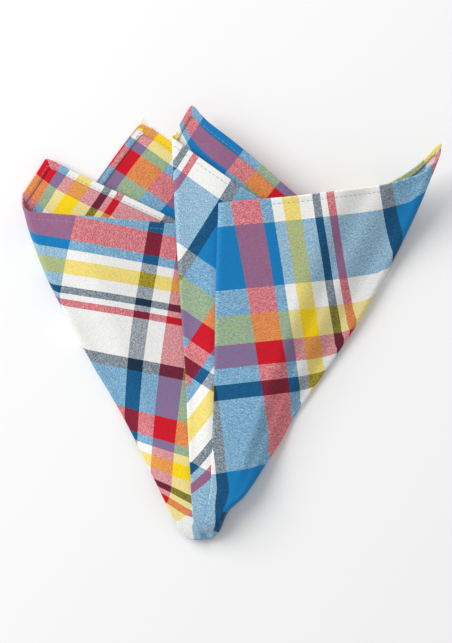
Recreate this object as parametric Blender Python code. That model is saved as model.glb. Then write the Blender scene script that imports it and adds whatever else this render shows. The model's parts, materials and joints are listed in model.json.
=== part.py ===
"""A hemmed square of checked cotton, picked up at its middle and laid down as a fan of pleats.

The cloth is one sheet. Seen from above, straight lines that run out from its middle
still run out from the tip of the fan, and the pleats fold over along some of them.
So a place on the cloth is given by two things: its bearing, measured round the middle
from the corner that ends as the right wing, and its share of the way out to the hem.
Lengths are in millimetres until the mesh is made.
"""
from collections import namedtuple
from math import atan2, cos, degrees, hypot, log, pi, radians, sin

import bmesh
import bpy

MM = 0.001

# The cloth, cut and hemmed
SIDE = 330.0
HEM_WIDTH = 6.0
CLOTH_THICKNESS = 1.0
HEM_THICKNESS = 1.4
HEM_ROW = 1 - HEM_WIDTH / (SIDE / 2)

# The pleats, from the tip to the hem
TIP_PITCH = 1.4
HEM_PITCH = 1.65
LOOP_REACH = 2.2
LAYERS = 10

# The rounded tip, where the pleats run into one another
TIP_X = 3.0
TIP_Z = 4.0
TIP_DEPTH = 6.0
TIP_LENGTH = 9.5
LOW_TIP_Y = -4.0
HIGH_TIP_DELAY = 2.5
HIGH_LAYERS = 4
WALL_REACH = 4.0
PLEATS_BEGIN = 9.0
PLEATS_FULL = 27.0

# How far the layers open and lift towards the hem
LEFT_MOUTH = 11.0
SECOND_MOUTH = 2.5
FRONT_MOUTH = 3.0
WING_LIFT = 26.0
WING_START = 160.0
WING_END = 228.0

# Seen from above, the lines of the folds would meet here, beyond the tip
LINES_MEET = (1.0, -24.0)

# Rows are shares of the way from the middle to the hem's edge
ROWS = (0.0, 0.012, 0.024, 0.038, 0.055, 0.073, 0.095, 0.12, 0.15, 0.19, 0.245, 0.32, 0.41, 0.51,
        0.61, 0.71, 0.81, 0.89, HEM_ROW, 1.0)
LOOP_STEPS = 4

# A row for each fold or corner, in order round the cloth. cloth: bearing on the cloth from the
# right wing's corner. plan: bearing seen from above, from straight up, positive to the right.
# reach: length seen from above for each length of cloth. tip_x, tip_y: where its line would
# start, from the tip. start: how far out from the tip the line is reached. end_x: where it runs
# into the rounded tip. bow, bow_at: how far the line swells outwards, and at what share of its
# length. loop: bearing that its turn takes. cells: steps of mesh up to the next row.
Line = namedtuple("Line", "name turn cloth plan reach tip_x tip_y start end_x bow bow_at loop cells")
LINES = (
    Line("right wing edge", "right", 3.0, 29.6, 0.99, 9.0, -1.0, 34, 8.5, 6.7, 0.67, 0.6, 1),
    Line("wing curl", "none", 5.8, 29.5, 0.988, 8.2, -0.6, 34, 8.3, 4.4, 0.67, 0.0, 2),
    Line("wing root", "none", 10.3, 26.0, 0.973, 9.0, 0.8, 40, 7.5, 1.0, 0.6, 0.0, 5),
    Line("front left edge", "left", 35.4, 2.2, 0.982, 5.4, 1.5, 20, 3.0, 0.0, 0.6, 0.6, 4),
    Line("front pleat", "right", 58.5, 25.0, 0.93, 6.5, 1.0, 30, 2.0, 0.0, 0.6, 0.6, 5),
    Line("second left edge", "left", 85.5, -2.8, 0.925, -2.5, 3.0, 20, -3.5, 0.0, 0.6, 0.6, 1),
    Line("top corner", "none", 90.0, -1.0, 0.906, -2.0, 2.5, 20, -2.5, 0.0, 0.6, 0.0, 4),
    Line("second pleat", "right", 117.0, 26.0, 0.93, 5.0, 0.0, 30, -1.5, 0.0, 0.6, 0.6, 4),
    Line("left panel", "none", 147.0, -3.0, 0.945, -2.4, -2.3, 20, -7.0, 0.0, 0.6, 0.0, 4),
    Line("left edge", "left", 171.0, -25.2, 0.914, -7.2, -4.1, 12, -12.0, 4.2, 0.79, 2.0, 1),
    Line("left corner", "none", 180.0, -20.0, 0.880, -7.6, -3.6, 14, -12.1, 1.0, 0.7, 0.0, 5),
    Line("third pleat", "right", 219.5, 19.5, 0.880, 4.0, -3.0, 30, -12.2, 0.0, 0.6, 0.6, 4),
    Line("hidden left edge", "left", 258.0, -19.0, 0.895, -4.0, -3.0, 20, -12.2, 0.0, 0.6, 0.6, 2),
    Line("middle corner", "none", 270.0, -6.9, 0.900, -4.0, -3.0, 20, -12.1, 0.0, 0.6, 0.0, 4),
    Line("fourth pleat", "right", 304.0, 26.0, 0.910, 5.0, -1.5, 30, -11.5, 0.0, 0.6, 0.6, 4),
    Line("back left edge", "left", 329.0, 2.5, 0.930, 4.5, 0.0, 20, -10.5, 0.0, 0.6, 0.6, 3),
    Line("back wing root", "none", 349.0, 23.2, 0.9335, 8.5, 0.0, 40, 6.0, 1.0, 0.6, 0.0, 1),
    Line("back wing edge", "none", 355.0, 27.6, 0.943, 8.0, -0.5, 34, 7.5, 3.8, 0.67, 0.0, 2),
    Line("wing corner", "none", 360.0, 29.7, 0.957, 9.0, -1.0, 34, 8.3, 6.2, 0.67, 0.0, 1),
)

# A place round the cloth: a point on a layer, or a point on the loop between two layers
Column = namedtuple("Column",
                    "cloth plan reach tip_x tip_y start end_x bow bow_at layer down swell side")


def ease(value):
    """0 below 0, 1 above 1, and a smooth rise between."""
    value = min(1.0, max(0.0, value))
    return value * value * (3 - 2 * value)


def mix(a, b, share):
    return a + (b - a) * share


def rim_distance(bearing):
    """From the middle of the cloth to its edge."""
    angle = radians(45 + bearing)
    return SIDE / 2 / max(abs(cos(angle)), abs(sin(angle)))


def seen_bearing(x, y):
    """Bearing of a place seen from above, from the point where the folds' lines would meet."""
    return degrees(atan2(x - LINES_MEET[0], y - LINES_MEET[1]))


def layer_ends():
    """The seen bearings between which each layer lies, from the top layer down."""
    turns = []
    for line in LINES:
        if line.turn != "none":
            out = 150.0
            x = line.tip_x + out * sin(radians(line.plan))
            y = line.tip_y + out * cos(radians(line.plan))
            turns.append(seen_bearing(x, y))
    turns.append(turns[0])
    return [(min(a, b), max(a, b)) for a, b in zip(turns, turns[1:])]


LAYER_ENDS = layer_ends()


def presence(layer, bearing, distance):
    """How fully a layer props up what lies on it: 1 over the layer, falling to 0 beside it."""
    low, high = LAYER_ENDS[layer]
    beside = ease((bearing - low + 7.0) / 7.0) * ease((high + 5.0 - bearing) / 5.0)
    return mix(1.0, beside, ease((distance - 20.0) / 60.0))


def height(layer, x, y):
    """Height of the middle of a layer's cloth above the surface that it all rests on."""
    bearing = seen_bearing(x, y)
    distance = hypot(x, y)
    pitch = mix(TIP_PITCH, HEM_PITCH, ease(distance / 150.0))
    z = CLOTH_THICKNESS / 2
    for below in range(layer + 1, LAYERS):
        z += pitch * presence(below, bearing, distance)
    if layer <= 4:
        left = mix(0.22, 1.0, ease((8.0 - bearing) / 28.0))
        z += LEFT_MOUTH * left * ease((distance - 60.0) / 115.0)
    if layer <= 2:
        z += SECOND_MOUTH * ease((distance - 70.0) / 100.0)
    if layer == 0:
        z += FRONT_MOUTH * ease((distance - 60.0) / 100.0) * ease((20.0 - bearing) / 15.0)
    wing = radians(LINES[0].plan)
    along = x * sin(wing) + y * cos(wing)
    curl = max(0.0, along - WING_START) / (WING_END - WING_START)
    return z + WING_LIFT * curl ** 1.6


def loop_columns(line, upper, lower, first, last):
    """The places on the loop by which the cloth turns from one layer to another."""
    places = []
    side = 1 if line.turn == "right" else -1
    for step in range(first, last):
        angle = pi * step / LOOP_STEPS
        bearing = line.cloth + line.loop * (2 * step / LOOP_STEPS - 1)
        down = (1 - cos(angle)) / 2
        places.append(Column(bearing, *line[3:11], (upper, lower), down, sin(angle), side))
    return places


def columns():
    """Every place round the cloth, in order of bearing, from the middle of the right wing."""
    places = loop_columns(LINES[0], LAYERS - 1, 0, LOOP_STEPS // 2, LOOP_STEPS)
    layer = 0
    for start, end in zip(LINES, LINES[1:] + LINES[:1]):
        if start.turn != "none" and start is not LINES[0]:
            places += loop_columns(start, layer - 1, layer, 1, LOOP_STEPS)
        first_cloth = start.cloth + start.loop
        last_cloth = (end.cloth + 360.0 if end is LINES[0] else end.cloth) - end.loop
        last_cell = start.cells + 1 if end.turn != "none" else start.cells
        for cell in range(last_cell):
            share = cell / start.cells
            values = [mix(a, b, share) for a, b in zip(start[3:11], end[3:11])]
            bearing = mix(first_cloth, last_cloth, share)
            places.append(Column(bearing, *values, (layer, layer), 0.0, 0.0, 0))
        if end.turn != "none":
            layer += 1
    wing = LINES[0]._replace(cloth=LINES[0].cloth + 360.0)
    return places + loop_columns(wing, LAYERS - 1, 0, 1, LOOP_STEPS // 2)


def fan_place(column, distance, rim):
    """Where cloth at this distance from its middle lies, seen from above, in the fan."""
    start = sin(min(1.0, distance / column.start) * pi / 2)
    bearing = radians(column.plan)
    out = distance * column.reach
    bow = column.bow * sin(pi * (distance / rim) ** (log(0.5) / log(column.bow_at)))
    if column.plan < 0:
        bow = -bow
    x = column.tip_x * start + out * sin(bearing) + bow * cos(bearing)
    y = column.tip_y * start + out * cos(bearing) - bow * sin(bearing)
    return x, y


def highness(column):
    """1 for the pleats that lie high at the tip, 0 for those that lie low."""
    ends = [1.0 if layer < HIGH_LAYERS else 0.0 for layer in column.layer]
    return mix(ends[0], ends[1], column.down)


def cloth_point(column, share):
    """A place on the cloth, given by its column and its share of the way to the edge."""
    rim = rim_distance(column.cloth)
    distance = share * mix(SIDE / 2, rim, ease(share / 0.6))
    spread = ease((distance - PLEATS_BEGIN) / (PLEATS_FULL - PLEATS_BEGIN))
    high = highness(column)
    turn = min(1.0, max(0.0, distance - HIGH_TIP_DELAY * high) / TIP_LENGTH) * pi / 2
    tip_y = LOW_TIP_Y * (1 - high * ease(distance / 4.0)) + TIP_DEPTH * (1 - cos(turn))
    tip_y += max(0.0, distance - TIP_LENGTH - HIGH_TIP_DELAY * high)
    fan_x, fan_y = fan_place(column, distance, rim)
    x = mix(column.end_x, fan_x, spread)
    y = mix(tip_y, fan_y, spread)

    top = height(column.layer[0], x, y)
    bottom = height(column.layer[1], x, y)
    z = mix(top, bottom, column.down)
    if column.side:
        whole_wall = abs(column.layer[0] - column.layer[1]) > 1
        reach = mix(WALL_REACH if whole_wall else 0.0, min(LOOP_REACH, abs(top - bottom) / 2), spread)
        reach *= column.side * column.swell
        bearing = radians(column.plan)
        x += reach * cos(bearing)
        y -= reach * sin(bearing) * spread
    if share >= HEM_ROW:
        z += (HEM_THICKNESS - CLOTH_THICKNESS) / 2
    return TIP_X + (x - TIP_X) * sin(turn), y, TIP_Z + (z - TIP_Z) * sin(turn)


def make_sheet():
    """The middle of the cloth's thickness, as a mesh of rows round the cloth's middle."""
    bm = bmesh.new()
    places = columns()
    middle = bm.verts.new([value * MM for value in cloth_point(places[0], 0.0)])
    rings = [[bm.verts.new([value * MM for value in cloth_point(place, share)]) for place in places]
             for share in ROWS[1:]]
    count = len(places)
    for i in range(count):
        j = (i + 1) % count
        bm.faces.new((middle, rings[0][i], rings[0][j]))
        for inner, outer in zip(rings, rings[1:]):
            bm.faces.new((inner[i], outer[i], outer[j], inner[j]))
    mesh = bpy.data.meshes.new("handkerchief")
    bm.to_mesh(mesh)
    bm.free()
    hem_verts = range(len(mesh.vertices) - 2 * count, len(mesh.vertices))
    return mesh, list(hem_verts)


def cotton():
    """Plain checked cotton's average colour."""
    material = bpy.data.materials.new("checked cotton")
    material.use_nodes = True
    shader = material.node_tree.nodes["Principled BSDF"]
    shader.inputs["Base Color"].default_value = (0.55, 0.48, 0.55, 1.0)
    shader.inputs["Roughness"].default_value = 0.9
    shader.inputs["Metallic"].default_value = 0.0
    return material


def stand_on_origin(mesh):
    """Moves the mesh so that the middle of its box's floor is the origin."""
    xs = [v.co.x for v in mesh.vertices]
    ys = [v.co.y for v in mesh.vertices]
    for v in mesh.vertices:
        v.co.x -= (min(xs) + max(xs)) / 2
        v.co.y -= (min(ys) + max(ys)) / 2


def main():
    for thing in list(bpy.data.objects):
        bpy.data.objects.remove(thing)
    mesh, hem_verts = make_sheet()
    cloth = bpy.data.objects.new("handkerchief", mesh)
    bpy.context.scene.collection.objects.link(cloth)
    cloth.data.materials.append(cotton())
    hem = cloth.vertex_groups.new(name="hem")
    hem.add(hem_verts, 1.0, "REPLACE")
    wall = cloth.modifiers.new("cloth thickness", "SOLIDIFY")
    wall.thickness = HEM_THICKNESS * MM
    wall.offset = 0.0
    wall.vertex_group = hem.name
    wall.thickness_vertex_group = CLOTH_THICKNESS / HEM_THICKNESS
    stand_on_origin(mesh)
    mesh.shade_smooth()


main()
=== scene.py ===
# %% [markdown]
# # A folded cotton handkerchief
#
# This lesson dresses one object: a hemmed square of plaid cotton that was picked up at its
# middle and laid down on a table as a fan of pleats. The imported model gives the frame, and
# everything below is made in that frame, in metres.

# %% Load the frame
import json
from collections import namedtuple
from math import atan2, cos, degrees, hypot, log, pi, radians, sin

import bmesh
import bpy
from mathutils import Matrix, Vector, noise

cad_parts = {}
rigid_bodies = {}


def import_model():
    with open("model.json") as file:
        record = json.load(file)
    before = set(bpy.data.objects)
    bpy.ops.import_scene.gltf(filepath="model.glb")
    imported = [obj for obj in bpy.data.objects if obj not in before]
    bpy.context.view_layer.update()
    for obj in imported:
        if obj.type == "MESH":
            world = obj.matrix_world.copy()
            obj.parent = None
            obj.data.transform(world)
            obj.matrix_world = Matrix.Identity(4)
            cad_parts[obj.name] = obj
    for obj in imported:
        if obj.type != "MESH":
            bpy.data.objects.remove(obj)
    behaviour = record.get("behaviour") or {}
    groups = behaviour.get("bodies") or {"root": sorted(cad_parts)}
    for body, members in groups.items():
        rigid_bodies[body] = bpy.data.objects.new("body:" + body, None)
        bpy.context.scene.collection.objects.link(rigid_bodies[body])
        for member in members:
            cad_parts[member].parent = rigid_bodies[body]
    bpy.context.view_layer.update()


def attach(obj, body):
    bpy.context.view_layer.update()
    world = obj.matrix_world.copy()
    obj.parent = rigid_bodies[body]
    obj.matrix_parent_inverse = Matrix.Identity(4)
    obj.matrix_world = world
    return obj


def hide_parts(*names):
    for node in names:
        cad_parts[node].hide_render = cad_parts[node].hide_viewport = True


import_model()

# %% [markdown]
# ## The camera
#
# The photograph looks straight down on the cloth from well above it, so that the pleats hardly
# change size with their height. A long lens does the same here. The frame's long side takes in
# 326.6 mm of the table, and the camera stands over the middle of the picture.

# %% Place the camera
MM = 0.001
VIEW_LENGTH = 326.6 * MM
CAMERA_HEIGHT = 1.3
SENSOR = 36.0
VIEW_MIDDLE = (-1.85 * MM, 2.5 * MM)


def add_camera():
    camera = bpy.data.cameras.new("overhead camera")
    camera.sensor_width = SENSOR
    camera.lens = SENSOR * CAMERA_HEIGHT / VIEW_LENGTH
    camera.clip_end = 20.0
    holder = bpy.data.objects.new("overhead camera", camera)
    holder.location = (*VIEW_MIDDLE, CAMERA_HEIGHT)
    bpy.context.scene.collection.objects.link(holder)
    bpy.context.scene.camera = holder
    return camera


lens = add_camera().lens
print("lens, mm:", round(lens, 1))

# %% [markdown]
# ## The folds
#
# Straight lines that run out from the middle of the cloth still run straight out from the tip
# of the fan, and the cloth is pleated along some of them. So the shape is a short table: one
# row for each fold or corner, in order round the cloth. A simulation could also fold a cloth,
# but it would not put each pleat where the photograph has it. A table does, and its numbers can
# be read and changed.

# %% The table of folds
SIDE = 330.0
HALF = SIDE / 2

# cloth: bearing on the cloth from the right wing's corner. plan: bearing seen from above.
# reach: length seen from above for each length of cloth. tip_x, tip_y: where its line would
# start. start: how far out that is reached. end_x: where it meets the rounded tip. miss: how
# far the fold's line on the cloth passes from the cloth's middle. extra: how much further out
# the stripes reach at the hem. bow, bow_at: how far the line swells, and where. loop: bearing
# that its turn takes. cells: steps of mesh to the next row.
Line = namedtuple(
    "Line", "name turn cloth plan reach tip_x tip_y start end_x bow bow_at miss extra loop cells")
LINES = (
    Line("wing edge", "right", 4.0, 29.6, 1.0, 9.0, -1.0, 34, 8.5, 6.7, 0.67, -7, 0, 1.8, 6),
    Line("wing curl", "none", 7.2, 29.4, 0.988, 8.2, -0.6, 34, 9.0, 4.4, 0.67, -7, 0, 0.0, 10),
    Line("wing root", "none", 10.6, 26.2, 0.973, 9.0, 0.8, 40, 9.0, 1.8, 0.6, -4, 0, 0.0, 24),
    Line("front panel", "none", 25.0, 12.1, 0.978, 6.9, 1.2, 28, 8.2, 0.4, 0.6, -2.5, 0, 0.0, 16),
    Line("front left edge", "left", 34.7, 2.2, 0.982, 5.4, 1.5, 20, 3.0, 0.0, 0.6, 3.0, 0, 0.6, 12),
    Line("front pleat", "right", 55.3, 20.3, 0.96, 6.5, -1.0, 30, 2.0, 0.0, 0.6, 5, 0, 0.6, 36),
    Line("second edge", "left", 84.3, -2.7, 0.947, -2.5, -2.0, 20, -3.5, 0.0, 0.6, 5, 0, 0.6, 8),
    Line("top corner", "none", 90.0, -1.0, 0.911, -2.0, 2.5, 20, -2.5, 0.0, 0.6, 0, 0, 0.0, 14),
    Line("top hem", "none", 99.0, 6.7, 0.946, 0.3, 1.7, 23, -2.2, 0.0, 0.6, 0, 0.7, 0.0, 14),
    Line("top panel", "none", 108.0, 14.3, 0.956, 2.7, 0.8, 27, -1.9, 0.0, 0.6, 0, 1.5, 0.0, 12),
    Line("second pleat", "right", 117.0, 26.0, 0.93, 5.0, 0.0, 30, -1.5, 0.0, 0.6, 0, 2.5, 0.6, 24),
    Line("left panel", "none", 147.0, -1.6, 0.995, -0.9, -12.0, 20, -5.5, 0.0, 0.6, 12, 12.4, 0.0, 36),
    Line("left edge", "left", 172.2, -25.2, 0.95, -3.8, -11.3, 12, -12.0, 4.2, 0.79, 20, 3.2, 2.0, 18),
    Line("left corner", "none", 180.0, -20.0, 0.880, -7.6, -3.6, 14, -12.1, 1.0, 0.7, 12, 2.5, 0.0, 40),
    Line("third pleat", "right", 219.5, 19.5, 0.84, 4.0, -3.0, 30, -12.2, 0.0, 0.6, 0, 4.0, 0.6, 12),
    Line("hidden edge", "left", 258.0, -19.0, 0.895, -4.0, -3.0, 20, -12.2, 0.0, 0.6, 0, 0, 0.6, 20),
    Line("middle corner", "none", 270.0, -6.9, 0.915, -4.0, -3.0, 20, -12.1, 0.0, 0.6, 0, 0, 0.0, 24),
    Line("fourth pleat", "right", 304.0, 26.0, 0.91, 5.0, -1.5, 30, -11.5, 0.0, 0.6, 0, 0, 0.6, 10),
    Line("back edge", "left", 329.0, 2.5, 0.93, 4.5, 0.0, 20, -10.5, 0.0, 0.6, 0, 0, 0.6, 10),
    Line("back root", "none", 349.0, 23.2, 0.9335, 8.5, 0.0, 40, 6.0, 1.0, 0.6, -4, 0, 0.0, 8),
    Line("back curl", "none", 355.0, 27.6, 0.943, 8.0, -0.5, 34, 7.5, 3.8, 0.67, -7, 0, 0.0, 8),
    Line("wing corner", "none", 360.0, 29.7, 0.963, 9.0, -1.0, 34, 8.3, 6.2, 0.67, -7, 0, 0.0, 6),
)
# The part of a row that changes evenly from one row to the next: plan to extra.
FIRST_FIELD = Line._fields.index("plan")
LAST_FIELD = Line._fields.index("loop")
print("folds and corners:", len(LINES))

# %% [markdown]
# ## Heights
#
# Each layer lies a little above the one below it. All the layers share one field of heights,
# looked up by the place on the table, so that no layer can dip through its neighbour. The front
# panels stand more open towards the hem, and the right wing curls up off the table.

# %% Seen from above
CORNER_CUT = 1.3
LINES_MEET = (1.0, -24.0)
HEM_DISTANCE = 150.0


def ease(value):
    """0 below 0, 1 above 1, and a smooth rise between."""
    value = min(1.0, max(0.0, value))
    return value * value * (3 - 2 * value)


def mix(a, b, share):
    return a + (b - a) * share


def rim_distance(bearing):
    """From the middle of the cloth to its edge, which is a little blunt at the corners."""
    angle = radians(45 + bearing)
    to_side = HALF / max(abs(cos(angle)), abs(sin(angle)))
    angle = radians(bearing)
    to_corner = (SIDE / 2 ** 0.5 - CORNER_CUT) / max(abs(cos(angle)), abs(sin(angle)))
    return min(to_side, to_corner)


def seen_bearing(x, y):
    return degrees(atan2(x - LINES_MEET[0], y - LINES_MEET[1]))


def layer_ends():
    """The seen bearings between which each layer lies, from the top layer down."""
    turns = [seen_bearing(line.tip_x + HEM_DISTANCE * sin(radians(line.plan)),
                          line.tip_y + HEM_DISTANCE * cos(radians(line.plan)))
             for line in LINES if line.turn != "none"]
    turns.append(turns[0])
    return [(min(a, b), max(a, b)) for a, b in zip(turns, turns[1:])]


LAYER_ENDS = layer_ends()
LAYERS = len(LAYER_ENDS)
print("layers:", LAYERS)

# %% [markdown]
# ### How high each layer lies
#
# A layer adds one step of height wherever it lies below another, and the step fades out over a
# few degrees beside it. By the tip every layer counts everywhere, because there they all meet.
# Then come the mouths, where the panels stand open, and the curl of the wing.

# %% Heights of the layers
BASE_HEIGHT = 0.5
TIP_PITCH = 1.4
HEM_PITCH = 1.65
LEFT_FADE = 7.0
RIGHT_FADE = 5.0
ALL_COUNT_TO = 20.0
FADES_OVER = 60.0
WING_LIFT = 26.0
WING_START = 160.0
WING_END = 228.0
WING_CURVE = 1.6

# rise: how much a mouth lifts the hem. lowest: the lowest layer it lifts. start, run: where
# the lift begins and over what length it grows. least: what is left of it at the right.
# right, width: the seen bearing where that is, and over how many degrees it gets there.
Mouth = namedtuple("Mouth", "rise lowest start run least right width")
MOUTHS = (
    Mouth(rise=11.0, lowest=4, start=60.0, run=115.0, least=0.22, right=8.0, width=28.0),
    Mouth(rise=2.5, lowest=2, start=70.0, run=100.0, least=1.0, right=8.0, width=28.0),
    Mouth(rise=3.0, lowest=0, start=60.0, run=100.0, least=0.0, right=20.0, width=15.0),
)


def presence(layer, bearing, distance):
    """How fully a layer props up what lies on it: 1 over the layer, falling to 0 beside it."""
    low, high = LAYER_ENDS[layer]
    from_left = ease((bearing - low + LEFT_FADE) / LEFT_FADE)
    from_right = ease((high + RIGHT_FADE - bearing) / RIGHT_FADE)
    return mix(1.0, from_left * from_right, ease((distance - ALL_COUNT_TO) / FADES_OVER))


def height(layer, x, y):
    """Height of the middle of a layer's cloth above the table."""
    bearing = seen_bearing(x, y)
    distance = hypot(x, y)
    pitch = mix(TIP_PITCH, HEM_PITCH, ease(distance / HEM_DISTANCE))
    z = BASE_HEIGHT
    for below in range(layer + 1, LAYERS):
        z += pitch * presence(below, bearing, distance)
    for mouth in MOUTHS:
        if layer <= mouth.lowest:
            left = mix(mouth.least, 1.0, ease((mouth.right - bearing) / mouth.width))
            z += mouth.rise * left * ease((distance - mouth.start) / mouth.run)
    wing = radians(LINES[0].plan)
    along = x * sin(wing) + y * cos(wing)
    curl = max(0.0, along - WING_START) / (WING_END - WING_START)
    return z + WING_LIFT * curl ** WING_CURVE


print("front panel at its hem, mm:", round(height(0, 10, 165), 1))

# %% [markdown]
# ## Columns of cloth
#
# The mesh is a grid. Its columns run from the middle of the cloth to the hem, and its rows run
# round it. Every fold is a small round loop between two layers, a few columns wide. A sharp
# fold would be one column, but ironed cotton still turns round a soft edge, which the light
# shows.

# %% Columns of a loop
# layer: the layers above and below. down: how far down between them, from 0 to 1. swell: how
# far out on its loop. side: 1 where the loop turns at the right, -1 at the left, 0 if none.
Column = namedtuple(
    "Column", "cloth plan reach tip_x tip_y start end_x bow bow_at miss extra layer down swell side")
LOOP_STEPS = 8


def loop_columns(line, upper, lower, first, last):
    """The places on the loop by which the cloth turns from one layer to another."""
    places = []
    fields = line[FIRST_FIELD:LAST_FIELD]
    side = 1 if line.turn == "right" else -1
    for step in range(first, last):
        angle = pi * step / LOOP_STEPS
        bearing = line.cloth + line.loop * (2 * step / LOOP_STEPS - 1)
        down = (1 - cos(angle)) / 2
        places.append(Column(bearing, *fields, (upper, lower), down, sin(angle), side))
    return places


print("columns in a loop:", len(loop_columns(LINES[0], 0, 1, 1, LOOP_STEPS)))

# %% [markdown]
# ### Columns of a layer
#
# Between two rows of the table the values change evenly. That alone would leave a faint kink at
# every row, so each column takes a short average round its own bearing.

# %% Columns of the layers
SOFT_BEARING = 3.0


def straight_fields(bearing, rows):
    """The table's values at a bearing, by straight lines from row to row."""
    for a, b in zip(rows, rows[1:]):
        if bearing <= b[0]:
            share = (bearing - a[0]) / (b[0] - a[0])
            return [mix(x, y, share) for x, y in zip(a[1], b[1])]
    return list(rows[-1][1])


def soft_fields(bearing, rows):
    reach = min(SOFT_BEARING, bearing - rows[0][0], rows[-1][0] - bearing)
    samples = [straight_fields(bearing + reach * part, rows) for part in (-1, -0.5, 0, 0.5, 1)]
    return [sum(values) / len(values) for values in zip(*samples)]


def layer_columns(layer, lines):
    """The columns of one layer, from the fold that starts it to the fold that ends it."""
    bearings = [line.cloth for line in lines]
    bearings[0] += lines[0].loop
    bearings[-1] -= lines[-1].loop
    rows = [(b, line[FIRST_FIELD:LAST_FIELD]) for b, line in zip(bearings, lines)]
    places = []
    for index, line in enumerate(lines[:-1]):
        last_stretch = index == len(lines) - 2
        for cell in range(line.cells + last_stretch):
            bearing = mix(bearings[index], bearings[index + 1], cell / line.cells)
            fields = soft_fields(bearing, rows)
            places.append(Column(bearing, *fields, (layer, layer), 0.0, 0.0, 0))
    return places


def all_columns():
    wing_again = LINES[0]._replace(cloth=LINES[0].cloth + 360.0)
    lines = LINES + (wing_again,)
    turns = [i for i, line in enumerate(lines) if line.turn != "none"]
    half = LOOP_STEPS // 2
    places = loop_columns(LINES[0], LAYERS - 1, 0, half, LOOP_STEPS)
    for layer, (a, b) in enumerate(zip(turns, turns[1:])):
        if layer:
            places += loop_columns(lines[a], layer - 1, layer, 1, LOOP_STEPS)
        places += layer_columns(layer, lines[a:b + 1])
    places += loop_columns(wing_again, LAYERS - 1, 0, 1, half + 1)
    return places


COLUMNS = all_columns()
print("columns:", len(COLUMNS))

# %% [markdown]
# ## From the cloth to the fan
#
# Near the middle of the cloth the pleats run into one another in a small rounded tip. Two
# shapes are worked out for each place, the rounded tip and the fan, and one turns into the
# other over the first couple of centimetres.

# %% Where a place on the cloth lies
# The tip turns over a length of cloth, about a line at TIP_X and TIP_Z. The few layers on top
# turn a little later than those below them, whose end shows past theirs. A loop stands out past
# its fold: by WALL_REACH where it goes round all the layers by the tip, and by up to LOOP_REACH
# in the fan.
TIP_X = 3.0
TIP_Z = 4.0
TIP_DEPTH = 11.0
TIP_LENGTH = 14.0
LOW_TIP_Y = -4.0
TUCK_Y = -1.0
HIGH_TIP_DELAY = 2.5
HIGH_LAYERS = 4
WALL_REACH = 4.0
LOOP_REACH = 2.2
PLEATS_BEGIN = 10.0
PLEATS_FULL = 24.0
SQUARE_FROM = 0.6
TUCKED_TO = 4.0


def cloth_distance(column, share):
    """How far from the middle of the cloth a share is: on circles first, then on squares."""
    return share * mix(HALF, rim_distance(column.cloth), ease(share / SQUARE_FROM))


def fan_place(column, distance):
    """Where cloth at this distance from its middle lies, seen from above, in the fan."""
    start = sin(min(1.0, distance / column.start) * pi / 2)
    bearing = radians(column.plan)
    out = distance * column.reach
    # The power puts the top of the swell at bow_at.
    way_out = min(1.0, distance / rim_distance(column.cloth))
    swell = way_out ** (log(0.5) / log(column.bow_at))
    bow = column.bow * sin(pi * swell)
    if column.plan < 0:
        bow = -bow
    x = column.tip_x * start + out * sin(bearing) + bow * cos(bearing)
    y = column.tip_y * start + out * cos(bearing) - bow * sin(bearing)
    return x, y


def tip_place(column, distance):
    """How far the cloth has turned there round the tip, and its y in the rounded tip."""
    ends = [1.0 if layer < HIGH_LAYERS else 0.0 for layer in column.layer]
    high = mix(ends[0], ends[1], column.down)
    past_start = distance - HIGH_TIP_DELAY * high
    turn = min(1.0, max(0.0, past_start) / TIP_LENGTH) * pi / 2
    low_end = mix(TUCK_Y, LOW_TIP_Y * (1 - high), ease(distance / TUCKED_TO))
    return turn, low_end + TIP_DEPTH * (1 - cos(turn)) + max(0.0, past_start - TIP_LENGTH)


def cloth_point(column, share):
    """A place on the cloth, given by its column and its share of the way to the edge."""
    distance = cloth_distance(column, share)
    spread = ease((distance - PLEATS_BEGIN) / (PLEATS_FULL - PLEATS_BEGIN))
    turn, tip_y = tip_place(column, distance)
    fan_x, fan_y = fan_place(column, distance)
    x = mix(column.end_x, fan_x, spread)
    y = mix(tip_y, fan_y, spread)

    top = height(column.layer[0], x, y)
    bottom = height(column.layer[1], x, y)
    z = mix(top, bottom, column.down)
    if column.side:
        whole_wall = abs(column.layer[0] - column.layer[1]) > 1
        wall = WALL_REACH if whole_wall else 0.0
        reach = mix(wall, min(LOOP_REACH, abs(top - bottom) / 2), spread)
        reach *= column.side * column.swell
        bearing = radians(column.plan)
        x += reach * cos(bearing)
        y -= reach * sin(bearing) * spread
    return Vector((TIP_X + (x - TIP_X) * sin(turn), y, TIP_Z + (z - TIP_Z) * sin(turn)))


print("right wing's corner, mm:", [round(value, 1) for value in cloth_point(COLUMNS[0], 1.0)])

# %% [markdown]
# ### Where a place lies in the weave
#
# The stripes belong to the flat cloth, so every place also needs its place there. It could be
# unwrapped later, but the columns already know it. Real folds stretch the cloth a little and
# pass its middle at a small distance, and the table has both.

# %% Where a place lies in the weave
# The cloth was cut a little off the grain along its left side: how far at its lower and its
# upper corner, in shares of the side.
CUT_OFF_GRAIN = (0.008, -0.014)
MISS_GROWS_OVER = 40.0


def weave_place(column, share):
    """The same place on the flat cloth, as two shares of its side. This is its UV."""
    distance = cloth_distance(column, share) + column.extra * share ** 2
    angle = radians(45 + column.cloth)
    miss = column.miss * max(0.0, 1 - share) * ease(distance / MISS_GROWS_OVER)
    u = distance * cos(angle) - miss * sin(angle)
    v = distance * sin(angle) + miss * cos(angle)
    u, v = u / SIDE + 0.5, v / SIDE + 0.5
    return u + max(0.0, 1 - 2 * u) * mix(*CUT_OFF_GRAIN, v), v


print("right wing's corner in the weave:", [round(x, 3) for x in weave_place(COLUMNS[0], 1.0)])

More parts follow.
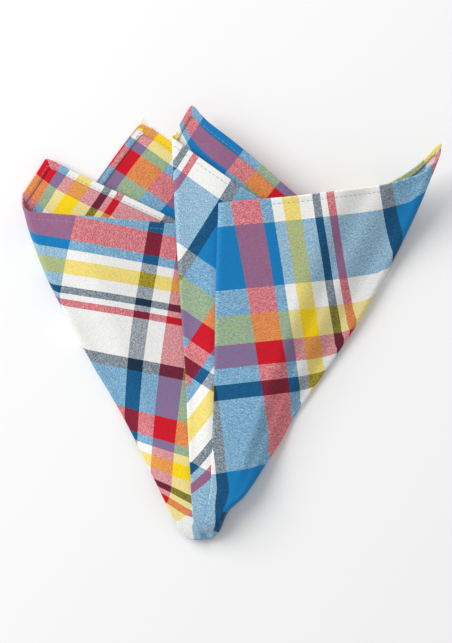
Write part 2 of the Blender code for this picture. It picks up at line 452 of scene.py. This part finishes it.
# %% [markdown]
# ## The cloth itself
#
# A flat grid is made first, with a column of vertices for every column of cloth and a row for
# every distance from the middle. Then each vertex moves to its folded place. The last rows turn
# round the edge and come back on the wrong side: that strip is the hem. Seen from the back it
# shows the stripes that lie just past the edge, as a real turned hem does.

# %% Rows of the grid
HEM_WIDTH = 3.7
HEM_ROLL = 0.3
HEM_RISE = 0.58
STITCH_INSET = 2.7
LAST_EVEN_INSET = 8.0
# share: how far out the row is. back: how far it stands behind the cloth. beyond: how far past
# the edge it rolls. turned: whether it is on the strip that is turned to the back.
Row = namedtuple("Row", "share back beyond turned")
FIRST_SHARES = (0.0, 0.008, 0.016, 0.025, 0.034, 0.044, 0.055, 0.066, 0.078, 0.091, 0.105, 0.12,
                0.136, 0.153, 0.172, 0.192, 0.214)
EVEN_ROWS = 52
# Where the rows by the edge lie, in from the edge, on the face and then back along the strip.
# The strip's rows also say how far behind the cloth they stand, in parts of the hem's rise: the
# stitches draw it in, and its last row is let into the cloth.
FACE_INSETS = (6.6, 5.2, HEM_WIDTH + 0.5, HEM_WIDTH, STITCH_INSET + 0.25, STITCH_INSET,
               STITCH_INSET - 0.25, 1.9, 1.2, 0.5, 0.0)
STRIP_INSETS = ((0.0, 1.0), (0.5, 1.02), (1.2, 1.0), (1.9, 1.0), (STITCH_INSET - 0.4, 0.97),
                (STITCH_INSET, 0.9), (STITCH_INSET + 0.4, 1.0), (HEM_WIDTH, 0.85),
                (HEM_WIDTH + 0.12, 0.4))


def hem_share(inset):
    """The share of the way out that is this far in from the edge."""
    return 1 - inset / HALF


def make_rows():
    shares = list(FIRST_SHARES)
    last = hem_share(LAST_EVEN_INSET)
    for step in range(1, EVEN_ROWS + 1):
        shares.append(mix(FIRST_SHARES[-1], last, step / EVEN_ROWS))
    shares += [hem_share(inset) for inset in FACE_INSETS]
    rows = [Row(share, 0.0, 0.0, False) for share in shares]
    for angle in (45, 90, 135):
        turned = radians(angle)
        back = HEM_RISE / 2 * (1 - cos(turned))
        rows.append(Row(1.0, back, HEM_ROLL * sin(turned), True))
    for inset, back in STRIP_INSETS:
        rows.append(Row(hem_share(inset), HEM_RISE * back, 0.0, True))
    return rows


ROWS = make_rows()
print("rows:", len(ROWS), "of which past the edge:", sum(1 for row in ROWS if row.turned))

# %% [markdown]
# ### Small unevenness
#
# Cotton that has been washed and folded is never quite flat. Broad, low swells cross the
# panels, and the line of stitches draws the hem in, so that it puckers between the stitches.
# Both are pushed along the cloth's own normal, and both stay smaller than the space between two
# layers.

# %% Swells and puckers
SWELL_SIZE = 26.0
SWELL_HEIGHT = 0.35
SMALL_SWELLS = 2.7
SMALL_SWELL_SHARE = 0.35
FLAT_TIP_SHARE = 0.15
PUCKER_LENGTH = 5.5
PUCKER_HEIGHT = 0.16
PUCKERS_FROM = 10.0
PUCKERS_GROW_OVER = 6.0
CALM_AT_HEM = 0.6
GROOVE_DEPTH = 0.10
GROOVE_HALF_WIDTH = 0.6
SWELL_SLICE = 0.3
PUCKER_SLICE = 4.1


def unevenness(u, v, share):
    """How far the cloth stands off its smooth shape, in millimetres."""
    place = Vector((u * SIDE / SWELL_SIZE, v * SIDE / SWELL_SIZE, SWELL_SLICE))
    small = noise.noise(place * SMALL_SWELLS) * SWELL_HEIGHT * SMALL_SWELL_SHARE
    low = noise.noise(place) * SWELL_HEIGHT + small
    inset = (1 - share) * HALF
    near_hem = ease((PUCKERS_FROM - inset) / PUCKERS_GROW_OVER)
    fine = Vector((u * SIDE / PUCKER_LENGTH, v * SIDE / PUCKER_LENGTH, PUCKER_SLICE))
    pucker = noise.noise(fine) * PUCKER_HEIGHT * near_hem
    groove = -GROOVE_DEPTH * max(0.0, 1 - abs(inset - STITCH_INSET) / GROOVE_HALF_WIDTH)
    return low * ease(share / FLAT_TIP_SHARE) * (1 - CALM_AT_HEM * near_hem) + pucker + groove


print("unevenness at the middle of a panel, mm:", round(unevenness(0.5, 0.8, 0.6), 2))

# %% [markdown]
# ### Where each vertex goes
#
# Every place of the grid needs three things: its point in the fan, its place in the weave and
# the normal of the cloth there, along which it is pushed. The normal comes from the neighbours
# on both sides and the row before. On the turned strip it is taken from the edge, because there
# the rows run back.

# %% Fold the grid
EDGE_STEP = 0.3
NO_AREA = 1e-9
Folded = namedtuple("Folded", "point weave normal")


def face_normal(outward, across):
    """The normal on the cloth's face side, or straight up where the cloth is gathered."""
    normal = outward.cross(across)
    return normal.normalized() if normal.length > NO_AREA else Vector((0, 0, 1))


def folded_column(i, smooth):
    column = COLUMNS[i]
    edge = cloth_point(column, 1.0)
    past_edge = (edge - cloth_point(column, hem_share(EDGE_STEP))).normalized()
    before = smooth[i - 1] if i else smooth[-2]
    after = smooth[i + 1] if i < len(smooth) - 1 else smooth[1]
    places = []
    for j, row in enumerate(ROWS):
        inner = max(j, 1) - 1
        outward = past_edge if row.turned else smooth[i][inner + 1] - smooth[i][inner]
        normal = face_normal(outward, after[j] - before[j])
        weave = weave_place(column, row.share)
        rise = unevenness(*weave, row.share)
        point = smooth[i][j] + normal * (rise - row.back) + past_edge * row.beyond
        places.append(Folded(point, weave, normal))
    return places


def folded_columns():
    smooth = [[cloth_point(column, row.share) for row in ROWS] for column in COLUMNS]
    return [folded_column(i, smooth) for i in range(len(COLUMNS))]


FOLDED = folded_columns()
print("places:", len(FOLDED) * len(ROWS))

# %% [markdown]
# ### From the grid to a mesh
#
# Faces could be made one by one, but a grid gives them all at once. It is moved into place and
# its stripes are written as a UV map. The first row has all come to one point, and the first
# and last column lie on each other, so doubles are merged and the cloth is closed. A Solidify
# modifier gives it the thickness of shirt cotton.

# %% Make the cloth
FAN_MIDDLE = Vector((15.06, 104.94, 0.0))
CLOTH_THICKNESS = 0.4
MERGE_DISTANCE = 0.0005


def mesh_from(name, bm):
    mesh = bpy.data.meshes.new(name)
    bm.to_mesh(mesh)
    bm.free()
    return mesh


def mesh_object(name, bm, smooth=True):
    mesh = mesh_from(name, bm)
    if smooth:
        mesh.shade_smooth()
    made = bpy.data.objects.new(name, mesh)
    bpy.context.scene.collection.objects.link(made)
    return made


def strip_weave(i, j, side):
    """A turned strip shows the weave as far past the edge as the strip is in from it."""
    u, v = weave_place(COLUMNS[i], ROWS[j].share)
    edge_u, edge_v = weave_place(COLUMNS[i], 1.0)
    return (2 * edge_u - u, v) if side % 2 else (u, 2 * edge_v - v)


def write_stripes(bm, places):
    """The UV map that the plaid reads, in shares of the cloth's side."""
    # The four sides run from corner to corner, a quarter turn each.
    weave_map = bm.loops.layers.uv.new("weave")
    for face in bm.faces:
        corners = [places[loop.vert.index] for loop in face.loops]
        first = min(i for i, _ in corners)
        middle = (COLUMNS[first].cloth + COLUMNS[first + 1].cloth) / 2
        side = int(middle % 360 // 90)
        on_strip = all(ROWS[j].turned for _, j in corners)
        for loop, (i, j) in zip(face.loops, corners):
            mirrored = on_strip and ROWS[j].share < 1.0
            loop[weave_map].uv = strip_weave(i, j, side) if mirrored else FOLDED[i][j].weave


def make_cloth():
    across, along = len(COLUMNS) - 1, len(ROWS) - 1
    bm = bmesh.new()
    bmesh.ops.create_grid(bm, x_segments=across, y_segments=along, size=1.0)
    places = [(round((vertex.co.x + 1) / 2 * across), round((vertex.co.y + 1) / 2 * along))
              for vertex in bm.verts]
    write_stripes(bm, places)
    for vertex, (i, j) in zip(bm.verts, places):
        vertex.co = (FOLDED[i][j].point - FAN_MIDDLE) * MM
    bmesh.ops.remove_doubles(bm, verts=bm.verts, dist=MERGE_DISTANCE * MM)
    bmesh.ops.recalc_face_normals(bm, faces=bm.faces)
    return mesh_object("handkerchief_cloth", bm)


cloth = make_cloth()
wall = cloth.modifiers.new("thickness of the cotton", "SOLIDIFY")
wall.thickness = CLOTH_THICKNESS * MM
wall.offset = 0.0
print("faces before thickness:", len(cloth.data.polygons))

# %% [markdown]
# ## The plaid
#
# The plaid is woven from dyed yarns, so it is two sets of stripes that cross. Where a blue warp
# crosses a white weft the eye sees light blue, and only where both are blue is the cloth
# strongly blue. Each set of stripes is one repeat of widths, read along U or V. A repeat is
# kept in a Color Ramp with constant steps, and a Math node in Modulo mode repeats it.

# %% Yarns and stripes
YARNS = {
    "white": (0.93, 0.93, 0.92),
    "blue": (0.10, 0.475, 0.715),
    "navy": (0.11, 0.20, 0.29),
    "red": (0.79, 0.10, 0.17),
    "yellow": (0.985, 0.835, 0.11),
}
# Mixing the yarns' colours in display values, before the Gamma node, makes mixed colours darker:
# painted shade of the yarns on one another.
DISPLAY_GAMMA = 2.2
# Where two bright yarns cross, light comes between them and the mixed colour is paler.
BRIGHT = ("blue", "red", "yellow")
CROSSING_LIFT = 0.24
LINT = (0.82, 0.80, 0.86)
# Where a bright yarn crosses a plain one, the gaps between them look darker.
CROSSING_SHADE = 0.07
PARTS_IN_SIDE = 650.0
# One repeat of the stripes along U and V, from the cloth's lower left. Widths are in parts, each
# about one pixel of the photograph wide.
U_REPEAT = (("red", 18), ("blue", 10), ("white", 10), ("yellow", 16), ("white", 13), ("navy", 8),
            ("white", 6), ("red", 8), ("white", 46), ("navy", 13), ("blue", 45), ("red", 8))
V_REPEAT = (("red", 21), ("yellow", 29), ("white", 26), ("blue", 63), ("white", 72), ("navy", 15),
            ("white", 17), ("red", 1))


def repeat_length(repeat):
    return sum(width for _, width in repeat)


print("repeats, parts:", repeat_length(U_REPEAT), repeat_length(V_REPEAT))

# %% [markdown]
# ### Stripes from a ramp
#
# Each stripe is a band of yarns of one colour. An image of them would be sharp only from one
# distance. A Color Ramp can hold a whole repeat: one stop for each stripe, and no blending
# between them. The coordinate is divided by the repeat's length and only its remainder is kept,
# so the ramp starts again at each repeat. The ramp's alpha says whether a yarn is bright.

# %% A set of stripes
REPEATS_BEFORE = 4


def shader_tools(tree):
    """Short ways to add a node, to join two sockets, to count and to mix two colours."""
    def node(kind, **settings):
        made = tree.nodes.new(kind)
        for name, value in settings.items():
            setattr(made, name, value)
        return made

    def feed(socket, value):
        if isinstance(value, (int, float, tuple)):
            socket.default_value = value
        elif value is not None:
            tree.links.new(value, socket)

    def math(operation, a, b=None):
        made = node("ShaderNodeMath", operation=operation)
        feed(made.inputs[0], a)
        feed(made.inputs[1], b)
        return made.outputs[0]

    def blend(factor, a, b, kind="MIX"):
        made = node("ShaderNodeMix", data_type="RGBA", blend_type=kind)
        feed(made.inputs["Factor"], factor)
        feed(made.inputs["A"], a)
        feed(made.inputs["B"], b)
        return made.outputs["Result"]

    return node, math, blend, tree.links.new


def stripes(tree, coordinate, repeat):
    """The colour of the yarn at a coordinate counted in parts, and whether it is bright."""
    node, math, _, link = shader_tools(tree)
    length = repeat_length(repeat)
    shifted = math("ADD", coordinate, length * REPEATS_BEFORE)
    share = math("DIVIDE", math("MODULO", shifted, length), length)
    ramp = node("ShaderNodeValToRGB")
    ramp.color_ramp.interpolation = "CONSTANT"
    elements = ramp.color_ramp.elements
    elements.remove(elements[1])
    start = 0
    for index, (yarn, width) in enumerate(repeat):
        stop = elements[0] if index == 0 else elements.new(start / length)
        stop.position = start / length
        stop.color = (*YARNS[yarn], 1 if yarn in BRIGHT else 0)
        start += width
    link(share, ramp.inputs[0])
    return ramp.outputs["Color"], ramp.outputs["Alpha"]


print("stripes in a repeat:", len(U_REPEAT), len(V_REPEAT))

# %% [markdown]
# ### The weave
#
# Seen close, warp and weft take turns on top. Yarns also vary in thickness, which gives mixed
# colours their speckle. A node group makes both once: where the warp shows, how the yarns stand
# up, and how much lighter or darker each spot is. The cotton thread of the stitches uses its
# speckle too.

# %% The weave as a node group
WARP_SHARE = 0.56
CHECKER_DEPTH = 0.35
SPECKLE_DEPTH = 1.05
# How fast each yarn's thickness changes, thread by thread: across it and along it.
SLUB_SCALES = ((0.85, 0.3), (0.3, 0.85))
SLUB_SLICE = 3.7
THREADS_BEFORE = 4000.0


def slub_cloud(tree, across, along, slice_at, scales):
    """Slow changes of thickness along one set of yarns, from 0 to 1."""
    node, math, _, link = shader_tools(tree)
    joined = node("ShaderNodeCombineXYZ")
    link(math("MULTIPLY", across, scales[0]), joined.inputs[0])
    link(math("MULTIPLY", along, scales[1]), joined.inputs[1])
    joined.inputs[2].default_value = slice_at
    cloud = node("ShaderNodeTexNoise")
    cloud.inputs["Scale"].default_value = 1.0
    cloud.inputs["Detail"].default_value = 2.0
    cloud.inputs["Roughness"].default_value = 0.6
    link(joined.outputs[0], cloud.inputs["Vector"])
    return cloud.outputs[0]


def weave_group():
    """Where the warp shows, how high the yarns stand and how light each spot is."""
    group = bpy.data.node_groups.new("cotton weave", "ShaderNodeTree")
    for name, way in (("Across", "INPUT"), ("Along", "INPUT"), ("Warp Shows", "OUTPUT"),
                      ("Height", "OUTPUT"), ("Shade", "OUTPUT")):
        group.interface.new_socket(name, in_out=way, socket_type="NodeSocketFloat")
    node, math, _, link = shader_tools(group)
    entry, leave = node("NodeGroupInput"), node("NodeGroupOutput")
    across, along = entry.outputs[0], entry.outputs[1]

    def turn(value):
        return math("MODULO", math("FLOOR", math("ADD", value, THREADS_BEFORE)), 2.0)

    def crown(value):
        return math("SINE", math("MULTIPLY", value, pi))

    checker = math("ABSOLUTE", math("SUBTRACT", turn(across), turn(along)))
    slubs = [slub_cloud(group, across, along, SLUB_SLICE * index, scales)
             for index, scales in enumerate(SLUB_SCALES)]
    speckle = math("MULTIPLY", math("SUBTRACT", *slubs), SPECKLE_DEPTH)
    half_checker = math("MULTIPLY", math("SUBTRACT", checker, 0.5), CHECKER_DEPTH)
    wanted = math("ADD", math("ADD", half_checker, WARP_SHARE), speckle)
    held = node("ShaderNodeClamp")
    link(wanted, held.inputs[0])
    link(held.outputs[0], leave.inputs["Warp Shows"])
    stands_up = math("ABSOLUTE", math("MULTIPLY", crown(across), crown(along)))
    link(stands_up, leave.inputs["Height"])
    together = math("ADD", *slubs)
    link(math("ADD", math("MULTIPLY", together, 0.5), 0.5), leave.inputs["Shade"])
    return group


WEAVE = weave_group()
THREADS_ACROSS = 1100.0
print("threads to the centimetre:", round(THREADS_ACROSS / SIDE * 10, 1))

# %% [markdown]
# ### The cotton's material
#
# Every spot of the cloth shows a warp or a weft yarn, and from further off the two mix. The
# group says where the warp shows, and the two sets of stripes say in which colour. Mixed
# colours are worked out in display values, so the stripes' colours are display colours, and
# a Gamma node turns the result into light at the end. Mixed in display values they come out
# darker than an even mix of light: that darkening is painted shade of the yarns on one another.
# Cotton is rough, with a faint sheen of loose fibres at its edges.

# %% The plaid material
YARN_HEIGHT = 0.08 * MM


def new_material(name, roughness, specular):
    material = bpy.data.materials.new(name)
    material.use_nodes = True
    shader = material.node_tree.nodes["Principled BSDF"]
    shader.inputs["Roughness"].default_value = roughness
    shader.inputs["Specular IOR Level"].default_value = specular
    return material, shader


def crossed_yarns(tree, u, v, weave):
    """The colour where warp and weft cross, and how much light the gaps between them keep."""
    node, math, blend, link = shader_tools(tree)
    warp, warp_bright = stripes(tree, math("MULTIPLY", u, PARTS_IN_SIDE), U_REPEAT)
    weft, weft_bright = stripes(tree, math("MULTIPLY", v, PARTS_IN_SIDE), V_REPEAT)
    mixed = blend(weave.outputs["Warp Shows"], weft, warp)
    apart = node("ShaderNodeVectorMath", operation="DISTANCE")
    link(warp, apart.inputs[0])
    link(weft, apart.inputs[1])
    both_bright = math("MULTIPLY", warp_bright, weft_bright)
    lift = math("MULTIPLY", both_bright, math("MINIMUM", apart.outputs["Value"], CROSSING_LIFT))
    unlike = math("ABSOLUTE", math("SUBTRACT", warp_bright, weft_bright))
    kept = math("SUBTRACT", 1.0, math("MULTIPLY", unlike, CROSSING_SHADE))
    return blend(lift, mixed, (*LINT, 1)), kept


def plaid_cotton():
    material, shader = new_material("plaid cotton", roughness=0.85, specular=0.15)
    shader.inputs["Sheen Weight"].default_value = 0.12
    shader.inputs["Sheen Roughness"].default_value = 0.5
    tree = material.node_tree
    node, math, blend, link = shader_tools(tree)
    uv = node("ShaderNodeUVMap", uv_map="weave")
    axes = node("ShaderNodeSeparateXYZ")
    link(uv.outputs[0], axes.inputs[0])
    u, v = axes.outputs[0], axes.outputs[1]
    weave = node("ShaderNodeGroup", node_tree=WEAVE)
    link(math("MULTIPLY", u, THREADS_ACROSS), weave.inputs["Across"])
    link(math("MULTIPLY", v, THREADS_ACROSS), weave.inputs["Along"])
    seen, kept = crossed_yarns(tree, u, v, weave)
    # The darker mix of display values is painted shade of the yarns on one another; the Gamma node
    # turns it into light.
    light = node("ShaderNodeGamma")
    light.inputs["Gamma"].default_value = DISPLAY_GAMMA
    link(seen, light.inputs["Color"])
    shade = math("MULTIPLY", weave.outputs["Shade"], kept)
    link(blend(1.0, light.outputs[0], shade, "MULTIPLY"), shader.inputs["Base Color"])
    bump = node("ShaderNodeBump")
    bump.inputs["Strength"].default_value = 0.35
    bump.inputs["Distance"].default_value = YARN_HEIGHT
    link(weave.outputs["Height"], bump.inputs["Height"])
    link(bump.outputs[0], shader.inputs["Normal"])
    return material


cloth.data.materials.append(plaid_cotton())
print("yarn colours:", ", ".join(YARNS))

# %% [markdown]
# ## Stitches and loose ends
#
# The hem is held by one line of machine stitches that shows on both sides of the cloth. An
# array along a curve could place them, but it would not know which way the cloth faces. So a
# stitch is kept as its middle, its direction and the cloth's normal there.

# %% Places of the stitches
STITCH_STEP = 2.4
Stitch = namedtuple("Stitch", "middle along up")


def line_of_stitches(row, side):
    """Evenly spaced stitches along one row of the folded cloth, on one side of it."""
    ups = [column[row].normal * side for column in FOLDED]
    path = [column[row].point + up * (CLOTH_THICKNESS / 2) for column, up in zip(FOLDED, ups)]
    places, travelled, wanted = [], 0.0, STITCH_STEP / 2
    for a, b, up in zip(path, path[1:], ups):
        length = (b - a).length
        while length > 0 and travelled + length >= wanted:
            middle = a.lerp(b, (wanted - travelled) / length)
            places.append(Stitch(middle, (b - a).normalized(), up))
            wanted += STITCH_STEP
        travelled += length
    return places


def row_index(inset, beyond_edge):
    share = hem_share(inset)
    return min((abs(row.share - share), i) for i, row in enumerate(ROWS)
               if row.turned == beyond_edge)[1]


FACE_STITCHES = line_of_stitches(row_index(STITCH_INSET, False), 1.0)
BACK_STITCHES = line_of_stitches(row_index(STITCH_INSET, True), -1.0)
print("stitches on the face and on the back:", len(FACE_STITCHES), len(BACK_STITCHES))

# %% [markdown]
# ### A spindle of thread
#
# A stitch is thick in the middle and dives into the cloth at both ends, so a long sphere has
# its shape. Each one is a little shorter than the step to the next.

# %% Spindles of thread
STITCH_LENGTH = 2.1
THREAD_WIDTH = 0.3


def face_rank(face):
    indices = [vertex.index for vertex in face.verts]
    return min(indices) * 100 + max(indices)


def make_spindle():
    """A short round thread, one long and one wide, that every stitch is a copy of."""
    bm = bmesh.new()
    bmesh.ops.create_uvsphere(bm, u_segments=6, v_segments=4, radius=0.5)
    # Blender gives the sphere's faces in another order each time, so they are put in one order.
    bm.verts.index_update()
    bm.faces.sort(key=face_rank)
    return mesh_from("spindle", bm)


SPINDLE = make_spindle()


def add_spindle(bm, stitch, length, width):
    """One small spindle of thread lying on the cloth."""
    across = stitch.up.cross(stitch.along).normalized()
    up = stitch.along.cross(across)
    turn = Matrix((stitch.along, across, up)).transposed().to_4x4()
    size = Matrix.Diagonal((length, width, width, 1.0))
    place = Matrix.Translation((stitch.middle - FAN_MIDDLE) * MM)
    scale = Matrix.Scale(MM, 4)
    copy = SPINDLE.copy()
    copy.transform(place @ scale @ turn @ size)
    bm.from_mesh(copy)
    bpy.data.meshes.remove(copy)


def make_stitches():
    bm = bmesh.new()
    for stitch in FACE_STITCHES + BACK_STITCHES:
        add_spindle(bm, stitch, STITCH_LENGTH, THREAD_WIDTH)
    return mesh_object("hem_stitches", bm)


stitches = make_stitches()
print("faces of the stitches:", len(stitches.data.polygons))

# %% [markdown]
# ### Loose ends
#
# Where a machine stops at a corner, the ends of its thread are cut and left, here at two
# corners and in yellow. A bevelled curve could make one, but the spindle is there already: an
# end is a short chain of spindles that overlap, each turned a little more than the last.

# %% Loose ends of thread
# bearing: which corner of the cloth. lean: how the thread bends as it goes out. length: in mm.
LooseEnd = namedtuple("LooseEnd", "bearing lean length")
LOOSE_ENDS = (LooseEnd(0.6, 0.45, 4.2), LooseEnd(1.6, -0.3, 2.6), LooseEnd(270.4, 0.9, 3.4),
              LooseEnd(271.5, -0.8, 2.8), LooseEnd(268.8, 1.6, 2.4))
LOOSE_STEPS = 6
OVERLAP = 1.9
ROWS_BACK = 6
ROOTED = 0.8


def make_loose_ends():
    bm = bmesh.new()
    edge = row_index(0.0, False)
    for end in LOOSE_ENDS:
        index = min(range(len(COLUMNS)), key=lambda i: abs(COLUMNS[i].cloth - end.bearing))
        root, up = FOLDED[index][edge].point, FOLDED[index][edge].normal
        out = (root - FOLDED[index][edge - ROWS_BACK].point).normalized()
        sideways = up.cross(out).normalized()
        step = end.length / LOOSE_STEPS
        place = root - out * ROOTED
        for part in range(LOOSE_STEPS):
            bend = end.lean * part / LOOSE_STEPS
            along = (out * cos(bend) + sideways * sin(bend)).normalized()
            place = place + along * step
            add_spindle(bm, Stitch(place, along, up), step * OVERLAP, THREAD_WIDTH)
    return mesh_object("loose_thread_ends", bm)


loose_ends = make_loose_ends()
print("loose ends:", len(LOOSE_ENDS))

# %% [markdown]
# ### Thread
#
# Both threads are twisted cotton. One plain colour would make them look like wire, so the same
# weave group makes them lighter and darker along their length. They read Object coordinates,
# because the spindles have no UV map.

# %% Thread materials
SPECKS_TO_THE_METRE = 3000.0
# The stitches' grey is partly the thread's own colour and partly painted shade: it is darker than the
# thread, for the shadow along the sunken line of stitches.
GREY_THREAD_AND_SHADE = (0.27, 0.31, 0.38)
YELLOW_THREAD = (0.75, 0.60, 0.16)


def thread_material(name, colour):
    """Twisted cotton thread, with the weave's own unevenness along it."""
    material, shader = new_material(name, roughness=0.7, specular=0.25)
    node, math, blend, link = shader_tools(material.node_tree)
    place = node("ShaderNodeTexCoord")
    axes = node("ShaderNodeSeparateXYZ")
    link(place.outputs["Object"], axes.inputs[0])
    weave = node("ShaderNodeGroup", node_tree=WEAVE)
    link(math("MULTIPLY", axes.outputs[0], SPECKS_TO_THE_METRE), weave.inputs["Across"])
    link(math("MULTIPLY", axes.outputs[1], SPECKS_TO_THE_METRE), weave.inputs["Along"])
    shaded = blend(1.0, (*colour, 1), weave.outputs["Shade"], "MULTIPLY")
    link(shaded, shader.inputs["Base Color"])
    return material


stitches.data.materials.append(thread_material("grey thread with painted shade", GREY_THREAD_AND_SHADE))
loose_ends.data.materials.append(thread_material("yellow sewing thread", YELLOW_THREAD))
print("thread materials:", [thing.data.materials[0].name for thing in (stitches, loose_ends)])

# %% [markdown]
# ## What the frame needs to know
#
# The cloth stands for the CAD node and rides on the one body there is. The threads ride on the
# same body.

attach(cloth, "root")
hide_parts("handkerchief")
for thread in (stitches, loose_ends):
    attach(thread, "root")
print("pieces on the body:", [thing.name for thing in (cloth, stitches, loose_ends)])

# %% [markdown]
# ## Floor and light
#
# The photograph has an almost white floor and a soft light from the upper left, so the shadows
# are faint and fall to the lower right. A big area light gives that, and a pale world fills the
# shadows.

# %% Floor and light
FLOOR_SIZE = 3.0
FLOOR_WHITE = (0.93, 0.93, 0.93, 1)
WORLD_STRENGTH = 0.51
WINDOW_PLACE = (-1.4, 0.9, 1.3)
WINDOW_SIZE = 1.8
WINDOW_POWER = 42.5


def add_floor():
    bm = bmesh.new()
    bmesh.ops.create_grid(bm, x_segments=1, y_segments=1, size=FLOOR_SIZE / 2)
    floor = mesh_object("floor", bm, smooth=False)
    material, shader = new_material("white table", roughness=0.9, specular=0.1)
    shader.inputs["Base Color"].default_value = FLOOR_WHITE
    floor.data.materials.append(material)
    return floor


def add_light(name, place, size, power):
    light = bpy.data.lights.new(name, "AREA")
    light.shape = "DISK"
    light.size = size
    light.energy = power
    holder = bpy.data.objects.new(name, light)
    holder.location = place
    holder.rotation_euler = Vector(place).to_track_quat("Z", "Y").to_euler()
    bpy.context.scene.collection.objects.link(holder)
    return holder


add_floor()
add_light("window light", WINDOW_PLACE, WINDOW_SIZE, WINDOW_POWER)
world = bpy.data.worlds.new("pale room")
world.use_nodes = True
background = world.node_tree.nodes["Background"]
background.inputs[0].default_value = (1.0, 1.0, 1.0, 1)
background.inputs[1].default_value = WORLD_STRENGTH
bpy.context.scene.world = world
bpy.context.scene.view_settings.view_transform = "Standard"
print("lights:", [thing.name for thing in bpy.data.objects if thing.type == "LIGHT"])
